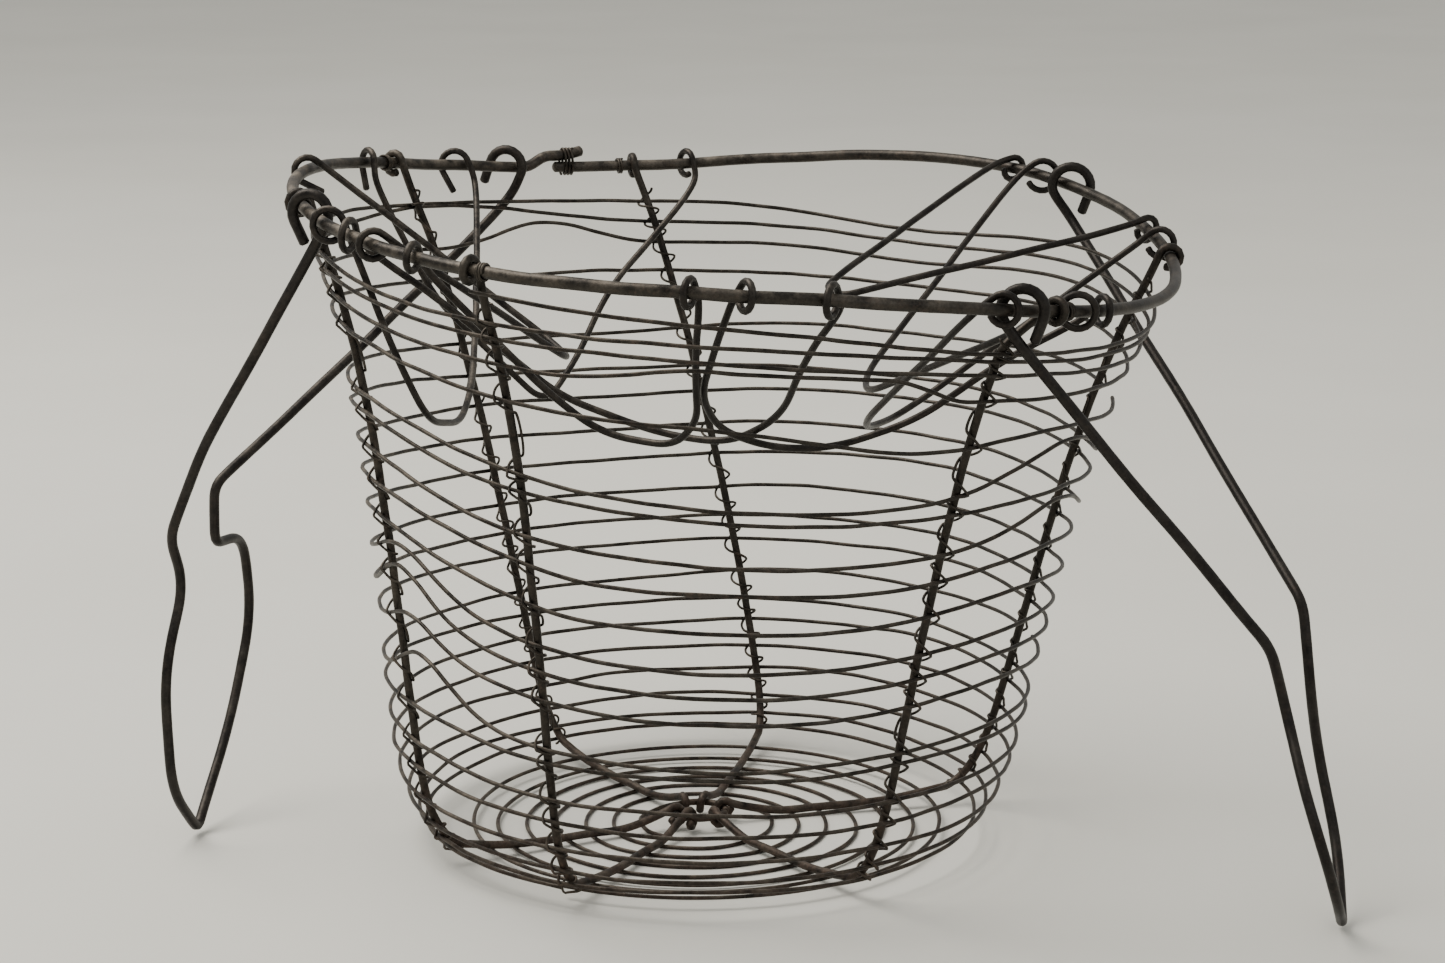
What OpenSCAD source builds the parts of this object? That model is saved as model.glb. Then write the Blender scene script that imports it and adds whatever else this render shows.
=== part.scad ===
// Round wire egg basket: a heavy rim, six ribs, a wound side and base wire,
// two bail handles and nine closing loops that hang inside the mouth.
// +Z is up and the basket faces -Y. The origin is the middle of the base,
// on the surface that the basket stands on. Azimuths run from +X towards +Y.

/* [Rim] */
// Radius of the rim, to the middle of its wire
rim_radius = 125; // [118:1:132]
// Mean height of the middle of the rim wire
rim_height = 181; // [170:1:195]
// How far the rim has been pushed over to +X
rim_lean = 10.6; // [4:0.2:14]
// How far the rim drops towards +X
rim_tilt = 9; // [4:0.5:12]
// Thickness of the rim wire
rim_wire = 3.4; // [2.8:0.1:3.6]

/* [Ribs and base] */
// Thickness of a rib wire
rib_wire = 2.4; // [1.8:0.1:2.6]
// Radius of the base, to the middle of its outer turn
base_radius = 79; // [74:1:84]
// Height of the outer turn of the base above the rest surface
shoulder_height = 4.5; // [3:0.5:6]
// Radius of the ring that the ribs meet at
hub_radius = 8; // [7:0.5:10]

/* [Thin wires] */
// Thickness of the side and base wire
side_wire = 1.2; // [0.8:0.1:1.4]
// Thickness of the binding wire round each rib
bind_wire = 0.6; // [0.4:0.1:0.8]
// Rise of one turn of the binding wire
bind_pitch = 8; // [6:0.5:12]

/* [Handles] */
// Thickness of the handle wire
handle_wire = 3; // [2.4:0.1:3.2]

/* [Closing loops] */
// Thickness of the wire of a closing loop
loop_wire = 2; // [1.6:0.1:2.2]

/* [Hidden] */

rim_r = rim_wire / 2;
rib_r = rib_wire / 2;
side_r = side_wire / 2;
bind_r = bind_wire / 2;
handle_r = handle_wire / 2;
loop_r = loop_wire / 2;
gap = 0.15;
hub_wire_r = 1;
hub_height = 4.3;
dark_steel = [0.16, 0.14, 0.13];
dusty_steel = [0.36, 0.32, 0.27];

// The rim's ends lap at the back left, one lying on the other. The upper end
// climbs on over splice_climb degrees and stands clear before the lower begins.
splice_start = 117;
splice_clear = 1;
splice_climb = 4;
splice_lap = 4.2;
splice_bend = 1.6;

// Azimuth of each rib where it hooks over the rim, at the top of the wall and
// at the base.
rib_hook = [237, 311.5, 2, 105, 146, 197];
rib_top = [237, 306.5, 2, 105, 146, 197];
rib_foot = [244, 304, 14, 76, 124, 207];

// Height of each turn of the side wire where it passes the front,
// in hundredths of the way from the base's outer turn to the rim.
turns = [94.5, 91.5, 89, 84.5, 78.5, 65.5, 64, 56.5, 52, 46, 39.5, 35.5, 31.5,
    23.4, 21.8, 16, 12.5, 8, 4, 1.8, 0.2];
front = 270;
pinched_turn = 3;
pinch_rise = 3.2;
pinch_width = 0.045;

// At the back the turns sag to the right of the back rib and rise beside it.
back_sag = 12;
sag_azimuth = 57;
sag_width = 19;
// Half way up the wall the turns rise on each side of the front.
side_lift = 11;
lift_azimuths = [208, 332];
lift_width = 22;
// Each rise or dip: the turns gone by, azimuth, width in degrees, and height.
humps = [[0, 237, 16, 3], [0.1, 312, 22, -3],
    [0.6, 120, 20, 3], [1.6, 135, 17, 6], [2.6, 120, 8, 7.5], [3.6, 114, 11, 2],
    [4.08, 298, 12, -4], [5.16, 328, 12, 12], [7.17, 331, 10, 7],
    [9.84, 211, 9, 8], [10.84, 210, 8, 10], [11.84, 212, 7, 6], [12.84, 214, 8, 11]];

// Each closing loop: azimuths of its two eyes, its lean inwards from hanging
// straight down, and whether each eye is a crook with a straight tail. Then its
// outline: distance along the hinge line from the first eye, distance from the
// hinge line, and how far from that corner the bend starts.
loops = [
    [152, 97, 16, [1, 0], [[16, 42, 10], [52, 76, 8], [65, 62, 8], [78, 42, 10]]],
    [209.5, 134, 19, [0, 1], [[4, 40, 10], [13, 60, 12], [44, 66, 14], [66, 60, 14], [100, 43, 8]]],
    [215, 281, 36, [0, 0],
        [[20, 27, 8], [47, 57, 8], [72, 67, 12], [94, 67, 12], [112, 53, 12], [122, 30, 10]]],
    [228, 264.5, 33, [0, 0], [[25, 46, 8], [39, 60, 10], [60, 61, 8], [69, 50, 6], [73, 28, 8]]],
    [271, 320.5, 41, [0, 0],
        [[2, 22, 8], [6, 44, 8], [17, 58, 8], [34, 65, 10], [54, 65, 10], [74, 53, 10], [86, 30, 8]]],
    [303.2, 8, 50, [0, 0], [[45, 69, 12], [66, 80, 12], [97, 83, 14]]],
    [315.5, 40.5, 48, [0, 0], [[71, 69, 14], [93, 69, 14]]],
    [14, 46, 75, [0, 0], [[25, 91, 8], [34, 91, 8]]],
    [172, 220.5, 52, [1, 0], [[41, 78, 14], [62, 78, 14]]]];

// Each handle's shape: distance along the hinge line from the first eye,
// distance outwards from it, and distance below it.
left_eyes = [203, 125];
left_shape = [
    [10, 39.5, 71, 8], [14, 52, 97, 5], [22, 52, 113, 8], [10, 53, 136, 14], [11, 53, 172, 14], [26, 52, 188, 3],
    [52, 53, 165, 16], [71, 53, 134, 14], [64, 52, 108, 10], [44, 52, 106, 4], [45, 52, 89, 4]];
right_eyes = [306, 34.5];
right_shape = [
    [23, 66, 93, 5], [29, 70, 111, 8], [5, 79, 136, 14], [12, 86, 160, 14], [28, 88, 171, 3],
    [46, 86, 158, 16], [62, 80, 134, 14], [54, 77, 112, 8], [60, 74, 90, 5]];

// ---- vectors and paths ----
function unit(v) = v / norm(v);
function across(v, along) = v - along * (v * along);

// Direction of a path at point i.
function heading(p, i) =
    unit(p[min(i + 1, len(p) - 1)] - p[max(i - 1, 0)]);

// A normal for each point of a path, carried along without twisting.
function normals(p) = [for (
    i = 0, n = unit(across(abs(heading(p, 0)[2]) < 0.8 ? [0, 0, 1] : [1, 0, 0], heading(p, 0)));
    i < len(p);
    i = i + 1, n = unit(across(n, heading(p, min(i, len(p) - 1))))) n];

// Points of a path whose corners are rounded. Each corner's fourth value is
// how far back from the corner the bend starts.
function rounded(p, steps = 4) = [for (i = [0:len(p) - 1])
    let(here = [p[i][0], p[i][1], p[i][2]])
    each i == 0 || i == len(p) - 1 ? [here] :
        let(back = [for (k = [0:2]) p[i - 1][k] - p[i][k]],
            ahead = [for (k = [0:2]) p[i + 1][k] - p[i][k]],
            cut = min(p[i][3], 0.45 * norm(back), 0.45 * norm(ahead)),
            a = here + unit(back) * cut,
            b = here + unit(ahead) * cut)
        [for (k = [0:steps]) let(t = k / steps)
            (1 - t) * (1 - t) * a + 2 * t * (1 - t) * here + t * t * b]];

// Wires swept along paths, all in one polyhedron.
module wires(paths, radius, sides = 8) {
    first = [for (i = 0, n = 0; i < len(paths); n = n + len(paths[i]) * sides, i = i + 1) n];
    points = [for (p = paths)
        let(ns = normals(p))
        for (i = [0:len(p) - 1])
            let(t = heading(p, i), b = cross(t, ns[i]))
            for (k = [0:sides - 1])
                p[i] + radius * (cos(360 * k / sides) * ns[i] + sin(360 * k / sides) * b)];
    faces = [for (j = [0:len(paths) - 1])
        let(o = first[j], last = o + (len(paths[j]) - 1) * sides)
        each concat(
            [for (i = [0:len(paths[j]) - 2], k = [0:sides - 1])
                let(a = o + i * sides + k, b = o + i * sides + (k + 1) % sides)
                each [[a, a + sides, b], [b, a + sides, b + sides]]],
            [[for (k = [0:sides - 1]) o + k]],
            [[for (k = [sides - 1:-1:0]) last + k]])];
    polyhedron(points, faces, convexity = 10);
}

module wire(path, radius, sides = 8) {
    wires([path], radius, sides);
}

// ---- the rim and the wall ----
function rim_z(a) = rim_height - rim_tilt * cos(a) + 2.6 * sin(a)
    + 3.5 * sin(2 * a) - 3 * cos(3 * a) + 2 * sin(3 * a);
function rim_point(a) = [rim_lean + rim_radius * cos(a), rim_radius * sin(a), rim_z(a)];
function rim_heading(a) = unit(rim_point(a + 1) - rim_point(a - 1));
function outward(a) = unit(across([cos(a), sin(a), 0], rim_heading(a)));

// Radius of the wall a fraction s of the way up it, and of the base for s < 0,
// where the middle of the base is s = -1.
wall_height = rim_height - shoulder_height;
wall_round = 9;
wall_flare = 12;
wall_slope = rim_radius - base_radius - wall_round - wall_flare;
function wall_radius(s) = s < 0 ? base_radius * (1 + s)
    : base_radius + wall_round * (1 - exp(-s * wall_height / wall_round))
        + wall_slope * s + wall_flare * pow(s, 5);

// The base is flat out to flat_radius and then rises to its outer turn.
flat_radius = 45;
function base_z(r) = side_r + (shoulder_height - side_r)
    * pow(max(0, r - flat_radius) / (base_radius - flat_radius), 2);
function wall_z(a, s) = s < 0 ? base_z(wall_radius(s))
    : shoulder_height + s * (rim_z(a) - shoulder_height);
function lean_at(s) = rim_lean * max(0, s);
function wall_point(a, s, inset = 0) =
    let(d = 0.01,
        rise = wall_z(a, s + d) - wall_z(a, s - d),
        run = wall_radius(s + d) - wall_radius(s - d),
        long = norm([rise, run]),
        r = wall_radius(s) - inset * rise / long)
    [lean_at(s) + r * cos(a), r * sin(a), wall_z(a, s) + inset * run / long];

// Degrees from an azimuth, after a number of turns from the front.
function turned_from(t, azimuth) = (front + 360 * t - azimuth + 180) % 360 - 180;

// Fraction of the wall's height that the side wire has reached after a number
// of turns. One turn is pinched up against the turn above it at the front.
function turn_height(t) =
    let(i = max(0, floor(t)), part = t - i, a = turns[i], b = turns[min(i + 1, len(turns) - 1)],
        off = t - pinched_turn)
    let(h = (a + (b - a) * part + pinch_rise * exp(-pow(off / pinch_width, 2))) / 100,
        sag = back_sag * exp(-pow(turned_from(t, sag_azimuth) / sag_width, 2) / 2),
        rises = [for (q = humps) abs(t - q[0]) > 0.5 ? 0 :
            q[3] * exp(-pow(turned_from(t, q[1]) / q[2], 2) / 2)],
        lifts = [for (a = lift_azimuths) side_lift * pow(4 * h * (1 - h), 2)
            * exp(-pow(turned_from(t, a) / lift_width, 2) / 2)])
    h + (rises * [for (r = rises) 1] + lifts[0] + lifts[1] - sag * h * h * h) / wall_height;
turn_steps = 30;
function side_path(t0, t1) = [for (i = [0:ceil((t1 - t0) * turn_steps)])
    let(t = min(t1, t0 + i / turn_steps)) wall_point(front + 360 * t, turn_height(t))];

// A ring or part of one, round a point of the rim, in the plane across axis.
// The angle is 0 straight up and grows to the side that aside points to.
// drift moves the turn along the axis as it goes round.
function eye_path(centre, axis, aside, radius, from, to, drift, steps) =
    let(up = unit(cross(aside, axis)), lift = up[2] < 0 ? -up : up)
    [for (i = [0:steps]) let(t = i / steps, g = from + (to - from) * t)
        centre + radius * (cos(g) * lift + sin(g) * aside) + axis * drift * t];

// ---- the fixed frame ----
module rim_wire_ring() {
    steps = 70;
    ends = 4;
    rise = rim_wire + gap;
    upper = splice_start + splice_clear;
    around = 360 - splice_clear - splice_climb;
    // From its lower end the ring goes right round, climbs on to that end, and
    // its tip bends up and outwards.
    ring = [for (i = [0:steps]) rim_point(splice_start - around * i / steps)];
    over = [for (i = [1:ends]) let(t = i / ends)
        rim_point(upper + splice_climb * (1 - t)) + [0, 0, rise * t * t * (3 - 2 * t)]];
    tip = [for (i = [1:ends])
        let(t = i / ends, a = upper - (splice_clear + splice_lap) * t)
        rim_point(a) + [0, 0, rise] + [cos(a), sin(a), 0.8] * splice_bend * t * t];
    color(dark_steel) wire(concat(ring, over, tip), rim_r, 10);
}

module rim_splice_tie() {
    // Three turns of thin wire round both ends of the rim wire.
    mid = splice_start - 0.45 * splice_lap;
    centre = rim_point(mid) + [0, 0, (rim_wire + gap) / 2];
    along = rim_heading(mid);
    side = outward(mid);
    count = 3;
    pitch = 1.6 * bind_wire;
    steps = 36;
    color(dusty_steel) wire([for (i = [0:steps])
        let(g = 360 * count * i / steps)
        centre + (rim_r + bind_r + gap) * sin(g) * side
            + (rim_wire + bind_r + 2 * gap) * cos(g) * [0, 0, 1]
            + along * (i / steps - 0.5) * count * pitch], bind_r, 6);
}

// A rib hooks over the rim, runs down inside the side wire and in across the
// base, and wraps round the hub ring.
rib_inset = side_r + rib_r + 0.05;
function rib_azimuth(n, s) = rib_foot[n] + (rib_top[n] - rib_foot[n]) * max(0, s);
function rib_path(n) =
    let(a = rib_hook[n],
        f = rib_foot[n],
        hook = rim_r + rib_r + gap,
        wrap = hub_wire_r + rib_r + gap)
    concat(
        eye_path(rim_point(a), rim_heading(a), -outward(a), hook, -205, 80, 0, 12),
        [for (s = [0.93:-0.05:0.13]) wall_point(rib_azimuth(n, s), s, rib_inset)],
        [for (s = [0.09, 0.05, 0.02, -0.02, -0.06, -0.12, -0.25, -0.4, -0.55, -0.7])
            wall_point(rib_azimuth(n, s), s, rib_inset)],
        [for (g = [45:45:360])
            [0, 0, hub_height + wrap * sin(g)]
                + [cos(f), sin(f), 0] * (hub_radius + wrap * cos(g))
                + [-sin(f), cos(f), 0] * (rib_wire + gap) * (g - 45) / 360]);

module rib(n) {
    color(dark_steel) wire(rib_path(n), rib_r, 6);
}

module hub_ring() {
    color(dark_steel)
        translate([0, 0, hub_height])
        rotate_extrude($fn = 48)
        translate([hub_radius, 0])
        circle(r = hub_wire_r, $fn = 16);
}

// Thin wire wound round each rib and the side wire where they cross.
module binding(n) {
    low = 0.05;
    high = 0.94;
    count = floor(wall_height * (high - low) / bind_pitch);
    steps = 6;
    deep = rib_r + side_r + bind_r + 0.1;
    wide = rib_r + 2.5 * bind_r;
    color(dusty_steel) wire([for (i = [0:count * steps])
        let(s = low + (high - low) * i / (count * steps),
            a = rib_azimuth(n, s),
            g = 360 * i / steps,
            core = wall_point(a, s, 0.6 * rib_inset + deep * cos(g)))
        core + wide * sin(g) * [-sin(a), cos(a), 0]], bind_r, 4);
}

// Two turns of thin wire beside each rib's hook.
module rib_hook_ties() {
    beside = 1.6;
    count = 2;
    steps = 20;
    pitch = 1.2 * bind_wire;
    radius = rim_r + bind_r + 0.05;
    color(dusty_steel) wires([for (n = [0:5])
        let(a = rib_hook[n] + beside)
        [for (i = [0:steps])
            let(g = 360 * count * i / steps)
            rim_point(a) + radius * (cos(g) * [0, 0, 1] + sin(g) * outward(a))
                + rim_heading(a) * pitch * count * i / steps]], bind_r, 5);
}

// The side wire is three lengths, whose ends meet at ribs after these turns.
side_splits = [-0.1, 4.256, 12.277, 19.93];
module side_wire_length(n) {
    slack = 0.006;
    color(dusty_steel)
        wire(side_path(side_splits[n] + slack, side_splits[n + 1] - slack), side_r, 4);
}

module base_spiral() {
    rings = 7;
    steps = 24;
    outer = base_radius - 5;
    inner = hub_radius + 8;
    color(dusty_steel) wire([for (i = [0:rings * steps])
        let(a = front - 30 + 360 * i / steps,
            r = outer - (outer - inner) * i / (rings * steps))
        [r * cos(a), r * sin(a), base_z(r)]], side_r, 4);
}

// ---- moving pieces ----
// Hinge line through two points of the rim: start, direction, inwards, down.
function hinge(a, b) =
    let(start = rim_point(a), e = unit(rim_point(b) - start),
        mid = (start + rim_point(b)) / 2,
        inward = unit(across([rim_lean - mid[0], -mid[1], 0], e)),
        down = unit(across([0, 0, -1], e)))
    [start, e, inward, down, norm(rim_point(b) - start)];

// How far round the rim an eye goes, and how loose it is.
eye_turn = 285;
crook_turn = 190;
crook_tail = 7;
handle_turn = 235;
handle_tail = 6.5;
function eye_turns(crook) = [for (i = [0:10]) (crook ? crook_turn : eye_turn) * i / 10];

// An eye lies across the hinge line, and the rim crosses it at an angle, so an
// eye is wider the further apart the two eyes are round the rim.
eye_room = 0.45;
function eye_radius(a, b, r) =
    let(gone = abs((b - a + 540) % 360 - 180) / 2)
    rim_r / cos(gone) + r * (1 + tan(gone)) + eye_room;

// A closing loop is one wire: an eye round the rim, two legs and a rounded end,
// and an eye again. It turns about the line between its eyes.
function loop_path(n) =
    let(l = loops[n],
        h = hinge(l[0], l[1]),
        end = rim_point(l[1]),
        v = h[3] * cos(l[2]) + h[2] * sin(l[2]),
        w = h[2] * cos(l[2]) - h[3] * sin(l[2]),
        r = eye_radius(l[0], l[1], loop_r),
        legs = concat([[0, 6, 0]], l[4], [[h[4], 6, 0]]),
        from = eye_turns(l[3][0] == 1),
        to = eye_turns(l[3][1] == 1),
        body = rounded([for (q = legs)
            let(p = h[0] + h[1] * q[0] + v * q[1] + w * r) [p[0], p[1], p[2], q[2]]]))
    concat(
        l[3][0] == 1 ? [h[0] + eye_tail(from[10], r, w, v, crook_tail)] : [],
        [for (i = [10:-1:0]) h[0] + r * (cos(from[i]) * w - sin(from[i]) * v)],
        body,
        [for (g = to) end + r * (cos(g) * w - sin(g) * v)],
        l[3][1] == 1 ? [end + eye_tail(to[10], r, w, v, crook_tail)] : []);

// End of an eye's straight tail, from the middle of the eye.
function eye_tail(g, r, w, v, tail) =
    r * (cos(g) * w - sin(g) * v) - tail * (sin(g) * w + cos(g) * v);

module closing_loop(n) {
    color(dark_steel) wire(loop_path(n), loop_r, 6);
}

// A handle is one wire with an eye at each end, bent at its shoulders, neck
// and hand loop.
function handle_path(eyes, shape, crook) =
    let(h = hinge(eyes[0], eyes[1]),
        flat = unit([h[1][0], h[1][1], 0]),
        out = -unit(across([h[2][0], h[2][1], 0], flat)),
        a = h[0],
        b = rim_point(eyes[1]),
        lean = unit(out * shape[0][1] - [0, 0, shape[0][2]]),
        side = unit(cross(h[1], lean)),
        inner = side * h[2] > 0 ? side : -side,
        mid = [for (q = shape)
            let(p = a + flat * q[0] + out * q[1] - [0, 0, q[2]])
            [p[0], p[1], p[2], q[3]]],
        r = eye_radius(eyes[0], eyes[1], handle_r),
        turn = crook ? crook_turn : handle_turn,
        tail = crook ? crook_tail : handle_tail,
        from = a + inner * r + lean * 8,
        to = b + inner * r + lean * 8,
        ends = rounded(concat([[from[0], from[1], from[2], 0]], mid, [[to[0], to[1], to[2], 0]])))
    concat(
        [a + eye_tail(handle_turn, r, inner, lean, handle_tail)],
        [for (i = [10:-1:0]) let(g = handle_turn * i / 10)
            a + r * (cos(g) * inner - sin(g) * lean)],
        ends,
        [for (i = [0:10]) let(g = turn * i / 10)
            b + r * (cos(g) * inner - sin(g) * lean)],
        [b + eye_tail(turn, r, inner, lean, tail)]);

module handle(eyes, shape, crook) {
    color(dark_steel) wire(handle_path(eyes, shape, crook), handle_r, 8);
}

rim_wire_ring();
rim_splice_tie();
rib_hook_ties();
hub_ring();
rib(0);  // rib_front_left
rib(1);  // rib_front_right
rib(2);  // rib_right
rib(3);  // rib_back
rib(4);  // rib_back_left
rib(5);  // rib_left
binding(0);  // binding_front_left
binding(1);  // binding_front_right
binding(2);  // binding_right
binding(3);  // binding_back
binding(4);  // binding_back_left
binding(5);  // binding_left
side_wire_length(0);  // side_wire_top
side_wire_length(1);  // side_wire_upper
side_wire_length(2);  // side_wire_lower
base_spiral();
handle(left_eyes, left_shape, true);  // left_handle
handle(right_eyes, right_shape, false);  // right_handle
closing_loop(0);  // closing_loop_1
closing_loop(1);  // closing_loop_2
closing_loop(2);  // closing_loop_3
closing_loop(3);  // closing_loop_4
closing_loop(4);  // closing_loop_5
closing_loop(5);  // closing_loop_6
closing_loop(6);  // closing_loop_7
closing_loop(7);  // closing_loop_8
closing_loop(8);  // closing_loop_9
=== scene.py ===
import bpy
import numpy as np
from math import radians
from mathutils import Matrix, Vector, noise


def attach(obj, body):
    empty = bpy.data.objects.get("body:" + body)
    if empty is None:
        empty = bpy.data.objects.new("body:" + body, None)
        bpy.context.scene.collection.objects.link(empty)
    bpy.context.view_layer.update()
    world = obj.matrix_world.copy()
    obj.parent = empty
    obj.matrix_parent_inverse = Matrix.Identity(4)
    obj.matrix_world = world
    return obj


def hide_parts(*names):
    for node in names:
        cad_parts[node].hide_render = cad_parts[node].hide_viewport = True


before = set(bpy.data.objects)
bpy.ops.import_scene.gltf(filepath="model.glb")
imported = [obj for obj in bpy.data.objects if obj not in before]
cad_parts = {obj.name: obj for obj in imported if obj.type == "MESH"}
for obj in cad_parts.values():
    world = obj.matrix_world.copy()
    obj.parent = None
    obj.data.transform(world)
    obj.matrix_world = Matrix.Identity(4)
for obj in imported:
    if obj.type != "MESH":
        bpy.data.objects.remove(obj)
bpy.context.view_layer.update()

MM = 0.001
UP = np.array([0.0, 0.0, 1.0])
# The vector noise takes its offsets from this seed, so every run bends the wires alike.
noise.seed_set(1)

# A round wire basket: every wire of the CAD is drawn again as a finer, slightly
# uneven tube, with hitched binding wires and the look of old dusty steel.

# ---- sizes in mm and angles in degrees, as in the CAD ----
RIM_RADIUS, RIM_HEIGHT, RIM_LEAN, RIM_TILT = 125.0, 181.0, 10.6, 9.0
# Radii of the wires, and the gap where one lies against another.
RIM_R, RIB_R, SIDE_R, BIND_R, HANDLE_R, LOOP_R, HUB_R = 1.7, 1.2, 0.6, 0.4, 1.5, 1.0, 1.0
GAP = 0.15
BASE_RADIUS, SHOULDER, FLAT_RADIUS = 79.0, 4.5, 45.0
HUB_RADIUS, HUB_HEIGHT = 8.0, 4.3
WALL_HEIGHT = RIM_HEIGHT - SHOULDER
WALL_ROUND, WALL_FLARE = 9.0, 12.0
WALL_SLOPE = RIM_RADIUS - BASE_RADIUS - WALL_ROUND - WALL_FLARE
RIB_INSET = SIDE_R + RIB_R + 0.05
RIB_NAMES = ["front_left", "front_right", "right", "back", "back_left", "left"]
# Azimuth of each rib at its hook on the rim, at the top of the wall and at the base.
RIB_HOOK = [237, 311.5, 2, 105, 146, 197]
RIB_TOP = [237, 306.5, 2, 105, 146, 197]
RIB_FOOT = [244, 304, 14, 76, 124, 207]
FRONT = 270
# Height of each turn of the side wire at the front, in hundredths of the wall.
TURNS = [94.5, 91.5, 89, 84.5, 78.5, 65.5, 64, 56.5, 52, 46, 39.5, 35.5, 31.5,
         23.4, 21.8, 16, 12.5, 8, 4, 1.8, 0.2]
# Turns at which the side wire's three lengths meet, and half the space between them.
SIDE_SPLITS, SIDE_SLACK = [-0.1, 4.256, 12.277, 19.93], 0.006
# One turn is pinched up against the turn above it: the turn, its rise, where the
# rise begins and ends in degrees from the front, and how far it takes each time.
PINCHED_TURN, PINCH_RISE, PINCH_FROM, PINCH_TO, PINCH_CLIMB, PINCH_DROP = 3, 3.3, -24, 30, 22, 7
SPLICE_START, SPLICE_CLEAR, SPLICE_CLIMB, SPLICE_LAP, SPLICE_BEND = 117, 1, 4, 4.2, 1.6
# Each closing loop: azimuths of its two eyes, lean, whether each eye is a crook,
# and its outline as distances along and away from its hinge line, with bends.
LOOPS = [
    [152, 97, 16, [1, 0], [[16, 42, 10], [52, 76, 8], [65, 62, 8], [78, 42, 10]]],
    [209.5, 134, 19, [0, 1], [[4, 40, 10], [13, 60, 12], [44, 66, 14], [66, 60, 14], [100, 43, 8]]],
    [215, 281, 36, [0, 0],
     [[20, 27, 8], [47, 57, 8], [72, 67, 12], [94, 67, 12], [112, 53, 12], [122, 30, 10]]],
    [228, 264.5, 33, [0, 0], [[25, 46, 8], [39, 60, 10], [60, 61, 8], [69, 50, 6], [73, 28, 8]]],
    [271, 320.5, 41, [0, 0],
     [[2, 22, 8], [6, 44, 8], [17, 58, 8], [34, 65, 10], [54, 65, 10], [74, 53, 10], [86, 30, 8]]],
    [303.2, 8, 50, [0, 0], [[45, 69, 12], [66, 80, 12], [97, 83, 14]]],
    [315.5, 40.5, 48, [0, 0], [[71, 69, 14], [93, 69, 14]]],
    [14, 46, 75, [0, 0], [[25, 91, 8], [34, 91, 8]]],
    [172, 220.5, 52, [1, 0], [[41, 78, 14], [62, 78, 14]]]]
EYE_TURN, CROOK_TURN, CROOK_TAIL, EYE_ROOM = 285, 190, 7, 0.45
# The side wire sags at the back, and is lifted half way up beside the front.
BACK_SAG, SAG_AZIMUTH, SAG_WIDTH = 12, 57, 19
SIDE_LIFT, LIFT_AZIMUTHS, LIFT_WIDTH = 11, (208, 332), 22
# Rises and dips of the side wire: turns gone by, azimuth, width, height.
HUMPS = [[0, 237, 16, 3], [0.1, 312, 22, -3],
         [0.6, 120, 20, 3], [1.6, 135, 17, 6], [2.6, 120, 8, 7.5], [3.6, 114, 11, 2],
         [4.08, 298, 12, -4], [5.16, 328, 12, 12], [7.17, 331, 10, 7],
         [9.84, 211, 9, 8], [10.84, 210, 8, 10], [11.84, 212, 7, 6], [12.84, 214, 8, 11]]
HANDLE_TURN, HANDLE_TAIL, LEG_START = 235, 6.5, 8
LEFT_EYES, RIGHT_EYES = [203, 125], [306, 34.5]
# Each handle's shape: distance along the hinge line, outwards, below it, and bend.
LEFT_SHAPE = [
    [10, 39.5, 71, 8], [14, 52, 97, 5], [22, 52, 113, 8], [10, 53, 136, 14], [11, 53, 172, 14],
    [26, 52, 188, 3], [52, 53, 165, 16], [71, 53, 134, 14], [64, 52, 108, 10], [44, 52, 106, 4],
    [45, 52, 89, 4]]
RIGHT_SHAPE = [
    [23, 66, 93, 5], [29, 70, 111, 8], [5, 79, 136, 14], [12, 86, 160, 14], [28, 88, 171, 3],
    [46, 86, 158, 16], [62, 80, 134, 14], [54, 77, 112, 8], [60, 74, 90, 5]]


# ---- vectors and paths ----
def cosd(a):
    return np.cos(np.radians(a))


def sind(a):
    return np.sin(np.radians(a))


def vec(*v):
    return np.array(v, float)


def unit(v):
    return v / np.linalg.norm(v)


def across(v, along):
    return v - along * np.dot(v, along)


def smooth_path(points, step):
    """A centripetal spline through the points, at even steps along it."""
    p = np.array(points, float)
    keep = np.r_[True, np.linalg.norm(np.diff(p, axis=0), axis=1) > 1e-4]
    p = p[keep]
    ends = np.vstack([2 * p[0] - p[1], p, 2 * p[-1] - p[-2]])
    out = []
    for i in range(1, len(ends) - 2):
        p0, p1, p2, p3 = ends[i - 1:i + 3]
        t0 = 0.0
        t1 = t0 + np.linalg.norm(p1 - p0) ** 0.5
        t2 = t1 + np.linalg.norm(p2 - p1) ** 0.5
        t3 = t2 + np.linalg.norm(p3 - p2) ** 0.5
        n = max(2, int(np.linalg.norm(p2 - p1) / step * 2) + 1)
        t = np.linspace(t1, t2, n, endpoint=False)[:, None]
        a1 = (t1 - t) / (t1 - t0) * p0 + (t - t0) / (t1 - t0) * p1
        a2 = (t2 - t) / (t2 - t1) * p1 + (t - t1) / (t2 - t1) * p2
        a3 = (t3 - t) / (t3 - t2) * p2 + (t - t2) / (t3 - t2) * p3
        b1 = (t2 - t) / (t2 - t0) * a1 + (t - t0) / (t2 - t0) * a2
        b2 = (t3 - t) / (t3 - t1) * a2 + (t - t1) / (t3 - t1) * a3
        out.append((t2 - t) / (t2 - t1) * b1 + (t - t1) / (t2 - t1) * b2)
    out.append(p[-1:])
    out = np.vstack(out)
    length = np.r_[0, np.cumsum(np.linalg.norm(np.diff(out, axis=0), axis=1))]
    n = max(3, int(round(length[-1] / step)) + 1)
    at = np.linspace(0, length[-1], n)
    return np.column_stack([np.interp(at, length, out[:, k]) for k in range(3)])


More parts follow.
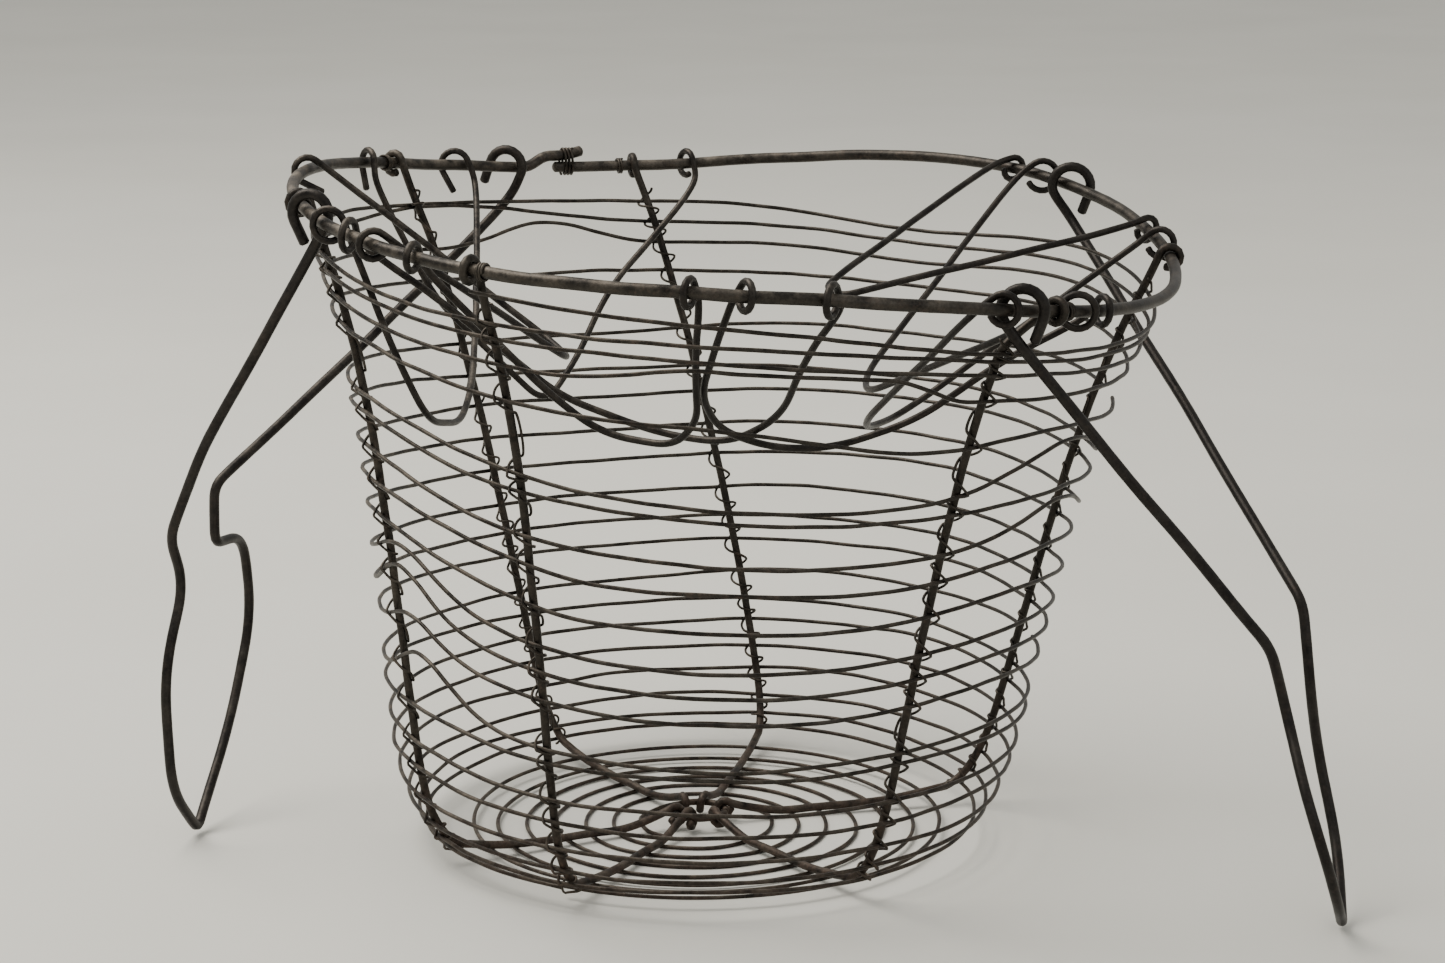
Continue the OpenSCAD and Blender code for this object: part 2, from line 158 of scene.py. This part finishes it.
def wander(path, amount, scale, seed, fade=0.0):
    """Bends a path a little, as old wire is, with its ends kept if fade is set."""
    length = np.r_[0, np.cumsum(np.linalg.norm(np.diff(path, axis=0), axis=1))]
    out = path.copy()
    for i, s in enumerate(length):
        v = noise.noise_vector(Vector((s / scale, seed * 3.7 + 0.5, seed * 1.3)))
        w = 1.0
        if fade:
            w = min(1.0, s / fade, (length[-1] - s) / fade)
        out[i] += amount * w * np.array(v)
    return out


def rounded(p, steps=6):
    """Rounds a path's corners; a corner's fourth value is how far back its bend starts."""
    out = []
    for i, q in enumerate(p):
        here = np.array(q[:3], float)
        if i == 0 or i == len(p) - 1:
            out.append(here)
            continue
        back = np.array(p[i - 1][:3], float) - here
        ahead = np.array(p[i + 1][:3], float) - here
        cut = min(q[3], 0.45 * np.linalg.norm(back), 0.45 * np.linalg.norm(ahead))
        a, b = here + unit(back) * cut, here + unit(ahead) * cut
        for k in range(steps + 1):
            t = k / steps
            out.append((1 - t) ** 2 * a + 2 * t * (1 - t) * here + t * t * b)
    return out


# ---- the rim and the wall ----
def rim_z(a):
    return (RIM_HEIGHT - RIM_TILT * cosd(a) + 2.6 * sind(a) + 3.5 * sind(2 * a)
            - 3 * cosd(3 * a) + 2 * sind(3 * a))


def rim_point(a):
    return vec(RIM_LEAN + RIM_RADIUS * cosd(a), RIM_RADIUS * sind(a), rim_z(a))


def rim_heading(a):
    return unit(rim_point(a + 1) - rim_point(a - 1))


def outward(a):
    return unit(across(vec(cosd(a), sind(a), 0), rim_heading(a)))


def wall_radius(s):
    if s < 0:
        return BASE_RADIUS * (1 + s)
    return (BASE_RADIUS + WALL_ROUND * (1 - np.exp(-s * WALL_HEIGHT / WALL_ROUND))
            + WALL_SLOPE * s + WALL_FLARE * s ** 5)


def base_z(r):
    t = max(0.0, r - FLAT_RADIUS) / (BASE_RADIUS - FLAT_RADIUS)
    return SIDE_R + (SHOULDER - SIDE_R) * t * t


def wall_z(a, s):
    return base_z(wall_radius(s)) if s < 0 else SHOULDER + s * (rim_z(a) - SHOULDER)


def wall_point(a, s, inset=0.0, level=0.0):
    """A point of the wall; inset is towards the inside, level is up the wall."""
    d = 0.01
    rise = wall_z(a, s + d) - wall_z(a, s - d)
    run = wall_radius(s + d) - wall_radius(s - d)
    slope = np.hypot(rise, run)
    r = wall_radius(s) - inset * rise / slope + level * run / slope
    z = wall_z(a, s) + inset * run / slope + level * rise / slope
    return vec(RIM_LEAN * max(0.0, s) + r * cosd(a), r * sind(a), z)


def turned_from(t, azimuth):
    return (FRONT + 360 * t - azimuth + 180) % 360 - 180


def side_level(t):
    """How far up the wall the side wire is after t turns."""
    t = min(t, len(TURNS) - 1.001)
    i = max(0, int(np.floor(t)))
    level = TURNS[i] + (TURNS[i + 1] - TURNS[i]) * (t - i)
    off = (t - PINCHED_TURN) * 360
    if PINCH_FROM < off <= PINCH_TO:
        up = np.clip((off - PINCH_FROM) / PINCH_CLIMB, 0, 1)
        down = np.clip((PINCH_TO - off) / PINCH_DROP, 0, 1)
        level += PINCH_RISE * (3 * up ** 2 - 2 * up ** 3) * (3 * down ** 2 - 2 * down ** 3)
    h = level / 100
    sag = BACK_SAG * np.exp(-(turned_from(t, SAG_AZIMUTH) / SAG_WIDTH) ** 2 / 2)
    rise = sum(q[3] * np.exp(-(turned_from(t, q[1]) / q[2]) ** 2 / 2) for q in HUMPS
               if abs(t - q[0]) < 0.5)
    lift = sum(SIDE_LIFT * (4 * h * (1 - h)) ** 2
               * np.exp(-(turned_from(t, a) / LIFT_WIDTH) ** 2 / 2) for a in LIFT_AZIMUTHS)
    return h + (rise - sag * h ** 3 + lift) / WALL_HEIGHT


# ---- meshes ----
def tube(name, paths, radius, sides, mat, body, nodes, wear=0.025, seed=1):
    """Round wires swept along paths in mm, with closed, slightly domed ends."""
    verts, faces = [], []
    ring = np.linspace(0, 2 * np.pi, sides, endpoint=False)
    for j, path in enumerate(paths):
        p = np.array(path, float)
        t = np.gradient(p, axis=0)
        t /= np.linalg.norm(t, axis=1)[:, None]
        n = unit(across(UP if abs(t[0][2]) < 0.8 else vec(1, 0, 0), t[0]))
        frames = []
        for i in range(len(p)):
            n = unit(across(n, t[i]))
            frames.append((n, np.cross(t[i], n)))
        rings = []
        for i in range(len(p)):
            bump = noise.noise(Vector(p[i] * 0.35) + Vector((seed, j, 0)))
            rings.append((p[i], i, radius * (1 + wear * bump)))
        cap = radius * 0.35
        rings = ([(p[0] - t[0] * cap, 0, radius * 0.6)] + rings
                 + [(p[-1] + t[-1] * cap, len(p) - 1, radius * 0.6)])
        first = len(verts)
        for centre, i, r in rings:
            a, b = frames[i]
            for g in ring:
                verts.append(centre + r * (np.cos(g) * a + np.sin(g) * b))
        for i in range(len(rings) - 1):
            o = first + i * sides
            for k in range(sides):
                m = (k + 1) % sides
                faces.append((o + k, o + sides + k, o + sides + m, o + m)[::-1])
        last = first + (len(rings) - 1) * sides
        faces.append([first + k for k in range(sides)][::-1])
        faces.append([last + k for k in range(sides)])
    mesh = bpy.data.meshes.new(name)
    mesh.from_pydata([tuple(v * MM) for v in verts], [], faces)
    mesh.validate()
    mesh.polygons.foreach_set("use_smooth", [True] * len(mesh.polygons))
    mesh.materials.append(mat)
    mesh.update()
    obj = bpy.data.objects.new(name, mesh)
    bpy.context.scene.collection.objects.link(obj)
    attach(obj, body)
    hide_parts(*nodes)


# ---- materials ----
def node(tree, kind, **sockets):
    n = tree.nodes.new(kind)
    for key, value in sockets.items():
        if key in n.inputs:
            n.inputs[key].default_value = value
        else:
            setattr(n, key, value)
    return n


def ramp(tree, factor, stops):
    n = tree.nodes.new("ShaderNodeValToRGB")
    tree.links.new(factor, n.inputs["Fac"])
    e = n.color_ramp.elements
    while len(e) < len(stops):
        e.new(0.5)
    for item, (at, colour) in zip(e, stops):
        item.position = at
        item.color = (*colour, 1)
    return n.outputs["Color"]


def mix(tree, factor, a, b):
    """The colour a, turning to b as the factor goes from 0 to 1."""
    n = tree.nodes.new("ShaderNodeMix")
    n.data_type = "RGBA"
    sockets = [s for s in n.inputs if s.enabled]
    for source, socket in zip((factor, a, b), sockets):
        tree.links.new(source, socket)
    return [s for s in n.outputs if s.enabled][0]


def maths(tree, op, a, b=0.0, clamp=False):
    n = tree.nodes.new("ShaderNodeMath")
    n.operation = op
    n.use_clamp = clamp
    for socket, value in zip(n.inputs, (a, b)):
        if isinstance(value, bpy.types.NodeSocket):
            tree.links.new(value, socket)
        else:
            socket.default_value = value
    return n.outputs[0]


# Height in metres up to which the wires are rustier, and the pits in the steel.
DAMP_HEIGHT, PITTING, PIT_DEPTH = 0.045, 0.48, 0.00025


def old_steel(name, dark, worn, dust_and_highlight, rust, base_rust=0.0):
    """Old drawn steel wire: dark oxide, rubbed patches, rust freckles, and pale dust on top that is
    partly a painted highlight.
    """
    m = bpy.data.materials.new(name)
    m.use_nodes = True
    tree = m.node_tree
    bsdf = tree.nodes["Principled BSDF"]
    coord = tree.nodes.new("ShaderNodeTexCoord")
    pos, nrm = coord.outputs["Object"], coord.outputs["Normal"]

    def cloud(scale, detail, rough, seed):
        shift = tree.nodes.new("ShaderNodeMapping")
        shift.inputs["Location"].default_value = (seed, seed * 0.7, -seed * 1.3)
        tree.links.new(pos, shift.inputs["Vector"])
        n = node(tree, "ShaderNodeTexNoise", Scale=scale, Detail=detail, Roughness=rough)
        tree.links.new(shift.outputs["Vector"], n.inputs["Vector"])
        return n.outputs["Fac"]

    def only(factor, low, high):
        """0 below low, 1 above high, and even in between."""
        return ramp(tree, factor, [(low, (0, 0, 0)), (high, (1, 1, 1))])

    def times(a, b, clamp=False):
        return maths(tree, "MULTIPLY", a, b, clamp)

    def plus(a, b, clamp=False):
        return maths(tree, "ADD", a, b, clamp)

    # Clouds of five sizes, from a few centimetres to a grain.
    broad = cloud(28, 3, 0.5, 1.1)
    patch = cloud(190, 5, 0.65, 2.3)
    grain = cloud(1400, 3, 0.6, 3.7)
    spots = cloud(520, 4, 0.7, 5.9)
    drift = cloud(120, 5, 0.7, 8.3)

    tone = plus(times(patch, 0.7), times(grain, 0.3))
    middle = tuple(0.5 * (a + b) for a, b in zip(dark, worn))
    steel = ramp(tree, tone, [(0.30, dark), (0.52, middle), (0.72, worn)])
    # Rust freckles, thicker in some stretches.
    freckle = times(only(spots, 0.50, 0.62), only(broad, 0.38, 0.66))
    freckle = times(freckle, rust, True)
    # More rust on the lowest few centimetres.
    place = tree.nodes.new("ShaderNodeSeparateXYZ")
    tree.links.new(pos, place.inputs[0])
    low = maths(tree, "SUBTRACT", 1.0, times(place.outputs["Z"], 1 / DAMP_HEIGHT), True)
    low = times(low, base_rust)
    low = times(low, only(patch, 0.34, 0.60), True)
    rusty = maths(tree, "MAXIMUM", freckle, low)
    rust_tone = ramp(tree, grain, [(0.3, (0.048, 0.027, 0.017)), (0.7, (0.120, 0.068, 0.042))])
    colour = mix(tree, rusty, steel, rust_tone)
    # Pale dust lies on what faces up, in patches; it also serves as a painted highlight on the tops
    # of the wires.
    face = tree.nodes.new("ShaderNodeSeparateXYZ")
    tree.links.new(nrm, face.inputs[0])
    top = plus(times(face.outputs["Z"], 0.55), 0.30, True)
    # It is thickest on the left of the basket, the side the key light falls on, so there it is
    # partly painted light.
    left = plus(times(place.outputs["X"], -5.0), 0.55, True)
    top = times(top, plus(left, 0.45))
    dust_and_highlight_mask = times(top, only(drift, 0.42, 0.66))
    dust_and_highlight_mask = times(dust_and_highlight_mask, dust_and_highlight, True)
    # One pale beige tone, used for both the dust and the painted highlight on the tops.
    dust_and_highlight_tone = ramp(tree, grain, [(0.25, (0.20, 0.165, 0.125)), (0.75, (0.36, 0.31, 0.25))])
    colour = mix(tree, dust_and_highlight_mask, colour, dust_and_highlight_tone)
    tree.links.new(colour, bsdf.inputs["Base Color"])
    dull = maths(tree, "MAXIMUM", rusty, dust_and_highlight_mask)
    metal = maths(tree, "SUBTRACT", 0.85, times(dull, 0.8), True)
    tree.links.new(metal, bsdf.inputs["Metallic"])
    rough = plus(times(patch, 0.30), 0.28)
    rough = plus(rough, times(dull, 0.35), True)
    tree.links.new(rough, bsdf.inputs["Roughness"])
    height = plus(times(patch, 0.6), times(grain, 0.4))
    b = node(tree, "ShaderNodeBump", Strength=PITTING, Distance=PIT_DEPTH)
    tree.links.new(height, b.inputs["Height"])
    tree.links.new(b.outputs["Normal"], bsdf.inputs["Normal"])
    return m


# Each kind of wire: its dark and its worn tone, how much pale dust and painted highlight it has,
# and how rusty it is.
RIM_STEEL = old_steel("rim_steel", (0.010, 0.009, 0.008), (0.055, 0.049, 0.042),
                      dust_and_highlight=0.55, rust=0.25)
RIB_STEEL = old_steel("rib_steel", (0.007, 0.006, 0.005), (0.034, 0.030, 0.025),
                      dust_and_highlight=0.30, rust=0.25, base_rust=0.55)
SIDE_STEEL = old_steel("side_steel", (0.008, 0.007, 0.006), (0.042, 0.037, 0.031),
                       dust_and_highlight=0.45, rust=0.30, base_rust=0.35)
BIND_STEEL = old_steel("binding_steel", (0.009, 0.008, 0.007), (0.050, 0.044, 0.036),
                       dust_and_highlight=0.45, rust=0.35, base_rust=0.5)
HANDLE_STEEL = old_steel("handle_steel", (0.008, 0.007, 0.007), (0.034, 0.031, 0.028),
                         dust_and_highlight=0.15, rust=0.12)
LOOP_STEEL = old_steel("loop_steel", (0.007, 0.006, 0.006), (0.032, 0.029, 0.026),
                       dust_and_highlight=0.30, rust=0.12)


# ---- the fixed frame ----
def rim():
    rise = 2 * RIM_R + GAP
    upper = SPLICE_START + SPLICE_CLEAR
    around = 360 - SPLICE_CLEAR - SPLICE_CLIMB
    # From its lower end it goes right round, climbs on to that end, and its
    # tip bends up and outwards.
    path = [rim_point(SPLICE_START - a) for a in np.linspace(0, around, 120)]
    for t in np.linspace(0.25, 1, 4):
        path.append(rim_point(upper + SPLICE_CLIMB * (1 - t)) + UP * rise * t * t * (3 - 2 * t))
    for t in np.linspace(0.25, 1, 4):
        a = upper - (SPLICE_CLEAR + SPLICE_LAP) * t
        path.append(rim_point(a) + UP * rise + vec(cosd(a), sind(a), 0.8) * SPLICE_BEND * t * t)
    path = wander(smooth_path(path, 1.6), 0.35, 22, 1, fade=25)
    tube("rim_wire", [path], RIM_R, 16, RIM_STEEL, "basket", ["rim_wire_ring"])


def splice_tie():
    mid = SPLICE_START - 0.45 * SPLICE_LAP
    centre = rim_point(mid) + UP * (2 * RIM_R + GAP) / 2
    along, side = rim_heading(mid), outward(mid)
    count, pitch = 3.5, 1.1
    wide, high = RIM_R + BIND_R + GAP, 2 * RIM_R + BIND_R + 2 * GAP
    path = []
    for t in np.linspace(0, 1, 90):
        g = 2 * np.pi * count * t
        path.append(centre + wide * np.sin(g) * side + high * np.cos(g) * UP
                    + along * (t - 0.5) * count * pitch)
    tube("rim_splice_wire", [smooth_path(path, 0.5)], BIND_R, 8, BIND_STEEL,
         "basket", ["rim_splice_tie"])


def rib_azimuth(n, s):
    return RIB_FOOT[n] + (RIB_TOP[n] - RIB_FOOT[n]) * max(0.0, s)


def rib_path(n):
    """Over the rim, down inside the side wire, in across the base and round the hub."""
    a, f = RIB_HOOK[n], RIB_FOOT[n]
    hook, wrap = RIM_R + RIB_R + GAP, HUB_R + RIB_R + GAP
    aside = -outward(a)
    lift = unit(np.cross(aside, rim_heading(a)))
    lift = -lift if lift[2] < 0 else lift
    path = [rim_point(a) + hook * (cosd(g) * lift + sind(g) * aside)
            for g in np.linspace(-205, 80, 20)]
    path += [wall_point(rib_azimuth(n, s), s, RIB_INSET) for s in np.arange(0.93, 0.12, -0.05)]
    path += [wall_point(rib_azimuth(n, s), s, RIB_INSET)
             for s in (0.09, 0.05, 0.02, -0.02, -0.06, -0.12, -0.25, -0.4, -0.55, -0.7)]
    start = 45
    for g in range(start, 361, 30):
        path.append(vec(0, 0, HUB_HEIGHT + wrap * sind(g))
                    + vec(cosd(f), sind(f), 0) * (HUB_RADIUS + wrap * cosd(g))
                    + vec(-sind(f), cosd(f), 0) * (2 * RIB_R + GAP) * (g - start) / 360)
    return path


def ribs():
    for n, name in enumerate(RIB_NAMES):
        path = wander(smooth_path(rib_path(n), 1.6), 0.25, 16, 10 + n)
        tube(name + "_rib", [path], RIB_R, 12, RIB_STEEL, "basket", ["rib_" + name])


def hub():
    # The ring isn't quite closed, and one end stands a hair higher.
    climb = 0.1
    path = [vec(HUB_RADIUS * cosd(g), HUB_RADIUS * sind(g), HUB_HEIGHT + climb * g / 360)
            for g in range(0, 352, 8)]
    tube("hub_wire_ring", [smooth_path(path, 1.0)], HUB_R, 12, RIB_STEEL,
         "basket", ["hub_ring"])


def crossings(n):
    """Heights at which the side wire crosses a rib, top first."""
    first_turn, last_turn, highest = 0.02, 20, 0.94
    out = []
    for k in range(-1, len(TURNS)):
        # A rib leans sideways, so where and how high it is crossed settle together.
        s = 0.5
        for _ in range(4):
            t = k + ((rib_azimuth(n, s) - FRONT) % 360) / 360
            s = side_level(t)
        if first_turn < t < last_turn and s < highest:
            out.append(s)
    return sorted(set(round(s, 4) for s in out), reverse=True)


# One hitch of the binding wire: it comes over the rib from the left, crosses
# the side wire on its outside, bows out on the right and goes behind the rib.
# Each row is across, up (in hundredths of the spacing) and outwards from the rib.
HITCH = [[-1.8, 50, -0.35], [-1.6, 40, 1.0], [-0.4, 28, 1.78], [0.8, 14, 2.45], [1.65, 1, 3.0],
         [2.3, -9, 2.2], [2.6, -22, 1.0], [2.2, -34, -0.2], [0.8, -45, -1.6], [-0.9, -50, -1.6]]


# The most that a hitch reaches up and down the rib, and how its bows vary.
HITCH_REACH, BOW_FROM, BOW_CHANGE = 9.0, 1.8, 0.25
# Past the top and the bottom crossing, in fractions of the wall.
ABOVE_TOP, BELOW_BOTTOM = 0.04, 0.03
TURNED_RIBS = ("front_left", "back_left", "left")


def bindings():
    for n, name in enumerate(RIB_NAMES):
        levels = crossings(n)
        # On the three left ribs the wire was wound the other way up.
        rows = HITCH
        if name in TURNED_RIBS:
            rows = [[-x, -y, w] for x, y, w in reversed(HITCH)]
        path = []
        for i, s in enumerate(levels):
            above = levels[i - 1] - s if i else ABOVE_TOP
            below = s - levels[i + 1] if i + 1 < len(levels) else BELOW_BOTTOM
            slack = 1 + BOW_CHANGE * noise.noise(Vector((i * 1.7, n * 5.1, 0.3)))
            a = rib_azimuth(n, s)
            for x, y, w in rows:
                spacing = (above if y > 0 else below) * WALL_HEIGHT
                p = wall_point(a, s, RIB_INSET - w, y / 100 * min(spacing, HITCH_REACH))
                bow = slack if abs(x) > BOW_FROM else 1.0
                path.append(p + vec(-sind(a), cosd(a), 0) * x * bow)
        tube(name + "_binding", [smooth_path(path, 0.7)], BIND_R, 6, BIND_STEEL,
             "basket", ["binding_" + name], wear=0.1, seed=n)


def hook_ties():
    """Two turns and a bit of thin wire round the rim, beside each rib's hook."""
    beside, count, width, room = 1.6, 2.25, 1.7, 0.08
    r = RIM_R + BIND_R + room
    paths = []
    for hook in RIB_HOOK:
        a = hook + beside
        path = []
        for t in np.linspace(0, 1, 40):
            g = 2 * np.pi * count * t
            path.append(rim_point(a) + r * (np.cos(g) * UP + np.sin(g) * outward(a))
                        + rim_heading(a) * width * t)
        paths.append(smooth_path(path, 0.5))
    tube("rib_hook_tie_wires", paths, BIND_R, 6, BIND_STEEL,
         "basket", ["rib_hook_ties"])


def side_wires():
    for i, name in enumerate(["top", "upper", "lower"]):
        t0, t1 = SIDE_SPLITS[i] + SIDE_SLACK, SIDE_SPLITS[i + 1] - SIDE_SLACK
        path = []
        for t in np.arange(t0, t1, 1 / 72):
            a = FRONT + 360 * t
            s = side_level(t)
            # The wire sags and bulges between ribs, a little differently each turn.
            bulge = 0.9 * noise.noise(Vector((a / 38, int(t + 0.5) * 2.3, 4.0)))
            rise = 1.0 * noise.noise(Vector((a / 31, 9.0, t * 0.9)))
            path.append(wall_point(a, s, -bulge * 0.8, rise))
        path = wander(smooth_path(path, 2.4), 0.28, 13, 30 + i)
        tube("side_wire_" + name + "_length", [path], SIDE_R, 8, SIDE_STEEL,
             "basket", ["side_wire_" + name], wear=0.06, seed=i)


def base():
    rings, steps = 7, 48
    outer, inner = BASE_RADIUS - 5, HUB_RADIUS + 8
    path = []
    for i in range(rings * steps + 1):
        a = FRONT - 30 + 360 * i / steps
        r = outer - (outer - inner) * i / (rings * steps)
        r += 1.1 * noise.noise(Vector((a / 40, 2.0, i / 160)))
        path.append(vec(r * cosd(a), r * sind(a), base_z(r)))
    tube("base_wire_spiral", [smooth_path(path, 2.4)], SIDE_R, 8, SIDE_STEEL,
         "basket", ["base_spiral"], wear=0.06)


# ---- moving pieces ----
def hinge(a, b):
    """A line through two points of the rim: start, direction, inwards, down, length."""
    start, end = rim_point(a), rim_point(b)
    e = unit(end - start)
    mid = (start + end) / 2
    inward = unit(across(vec(RIM_LEAN - mid[0], -mid[1], 0), e))
    down = unit(across(-UP, e))
    return start, e, inward, down, np.linalg.norm(end - start)


def eye_radius(a, b, r):
    """The rim crosses an eye at an angle, so eyes that are far apart are wider."""
    gone = abs((b - a + 540) % 360 - 180) / 2
    return RIM_R / cosd(gone) + r * (1 + np.tan(np.radians(gone))) + EYE_ROOM


def eye(centre, r, w, v, turn, tail=0):
    """An eye from the leg round the rim, and its straight tail if it has one."""
    path = [centre + r * (cosd(g) * w - sind(g) * v) for g in np.linspace(0, turn, 16)]
    if tail:
        along = -(sind(turn) * w + cosd(turn) * v)
        path += [path[-1] + along * tail * k / 3 for k in (1, 2, 3)]
    return path


def loop_path(n):
    a, b, lean, crook, outline = LOOPS[n]
    start, e, inward, down, span = hinge(a, b)
    # v runs from the hinge line to the loop's end, and w across it.
    v = down * cosd(lean) + inward * sind(lean)
    w = inward * cosd(lean) - down * sind(lean)
    r = eye_radius(a, b, LOOP_R)
    legs = [[0, 6, 0]] + outline + [[span, 6, 0]]
    body = rounded([[*(start + e * q[0] + v * q[1] + w * r), q[2]] for q in legs])
    ends = [(CROOK_TURN, CROOK_TAIL) if c else (EYE_TURN, 0) for c in crook]
    return eye(start, r, w, v, *ends[0])[::-1] + body + eye(rim_point(b), r, w, v, *ends[1])


def closing_loops():
    for n in range(len(LOOPS)):
        name = "closing_loop_%d" % (n + 1)
        path = wander(smooth_path(loop_path(n), 1.5), 0.35, 24, 50 + n, fade=45)
        tube(name + "_wire", [path], LOOP_R, 12, LOOP_STEEL, name, [name], seed=n)


def handle_path(eyes, shape, crook):
    start, e, inward = hinge(*eyes)[:3]
    flat = unit(vec(e[0], e[1], 0))
    out = -unit(across(vec(inward[0], inward[1], 0), flat))
    end = rim_point(eyes[1])
    lean = unit(out * shape[0][1] - UP * shape[0][2])
    side = unit(np.cross(e, lean))
    inner = side if np.dot(side, inward) > 0 else -side
    mid = [[*(start + flat * q[0] + out * q[1] - UP * q[2]), q[3]] for q in shape]
    r = eye_radius(*eyes, HANDLE_R)
    first = start + inner * r + lean * LEG_START
    last = end + inner * r + lean * LEG_START
    legs = rounded([[*first, 0]] + mid + [[*last, 0]])
    turn, tail = (CROOK_TURN, CROOK_TAIL) if crook else (HANDLE_TURN, HANDLE_TAIL)
    return (eye(start, r, inner, lean, HANDLE_TURN, HANDLE_TAIL)[::-1] + legs
            + eye(end, r, inner, lean, turn, tail))


def handles():
    for name, eyes, shape, crook, seed in (("left_handle", LEFT_EYES, LEFT_SHAPE, True, 70),
                                           ("right_handle", RIGHT_EYES, RIGHT_SHAPE, False, 71)):
        path = wander(smooth_path(handle_path(eyes, shape, crook), 1.6), 0.5, 34, seed, fade=40)
        tube(name + "_wire", [path], HANDLE_R, 14, HANDLE_STEEL, name, [name])


rim()
splice_tie()
ribs()
hub()
bindings()
hook_ties()
side_wires()
base()
closing_loops()
handles()


# ---- stage, light and camera ----
def stage():
    """A plain pale floor, large enough to fill the view."""
    mesh = bpy.data.meshes.new("floor")
    size = 6.0
    mesh.from_pydata([(-size, -size, 0), (size, -size, 0), (size, size, 0), (-size, size, 0)], [],
                     [(0, 1, 2, 3)])
    m = bpy.data.materials.new("floor")
    m.use_nodes = True
    bsdf = m.node_tree.nodes["Principled BSDF"]
    coord = m.node_tree.nodes.new("ShaderNodeTexCoord")
    n = node(m.node_tree, "ShaderNodeTexNoise", Scale=5.0, Detail=3.0)
    m.node_tree.links.new(coord.outputs["Object"], n.inputs["Vector"])
    tones = [(0.3, (0.74, 0.73, 0.67)), (0.7, (0.78, 0.77, 0.71))]
    m.node_tree.links.new(ramp(m.node_tree, n.outputs["Fac"], tones), bsdf.inputs["Base Color"])
    bsdf.inputs["Roughness"].default_value = 0.7
    mesh.materials.append(m)
    floor = bpy.data.objects.new("floor", mesh)
    bpy.context.scene.collection.objects.link(floor)


def area(name, location, target, size, power, colour):
    """A square soft light that faces its target; places in metres, power in watts."""
    data = bpy.data.lights.new(name, "AREA")
    data.energy, data.size, data.color = power, size, colour
    light = bpy.data.objects.new(name, data)
    bpy.context.scene.collection.objects.link(light)
    light.location = location
    light.rotation_euler = (Vector(target) - Vector(location)).to_track_quat("-Z", "Y").to_euler()


stage()
area("key", (-0.8, 0.25, 1.5), (0, 0, 0.08), 1.1, 30, (1.0, 0.96, 0.90))
area("fill", (1.3, -1.2, 1.1), (0, 0, 0.1), 1.6, 4, (0.95, 0.97, 1.0))
world = bpy.data.worlds.new("soft")
world.use_nodes = True
sky = world.node_tree.nodes["Background"]
sky.inputs["Color"].default_value = (0.95, 0.94, 0.90, 1)
sky.inputs["Strength"].default_value = 0.62
bpy.context.scene.world = world

data = bpy.data.cameras.new("camera")
data.sensor_width = 36.0
data.lens = 84.7
data.clip_end = 20
camera = bpy.data.objects.new("camera", data)
bpy.context.scene.collection.objects.link(camera)
camera.location = (0.007, -0.9619, 0.3238)
camera.rotation_euler = (radians(77.15), 0, 0)
bpy.context.scene.camera = camera
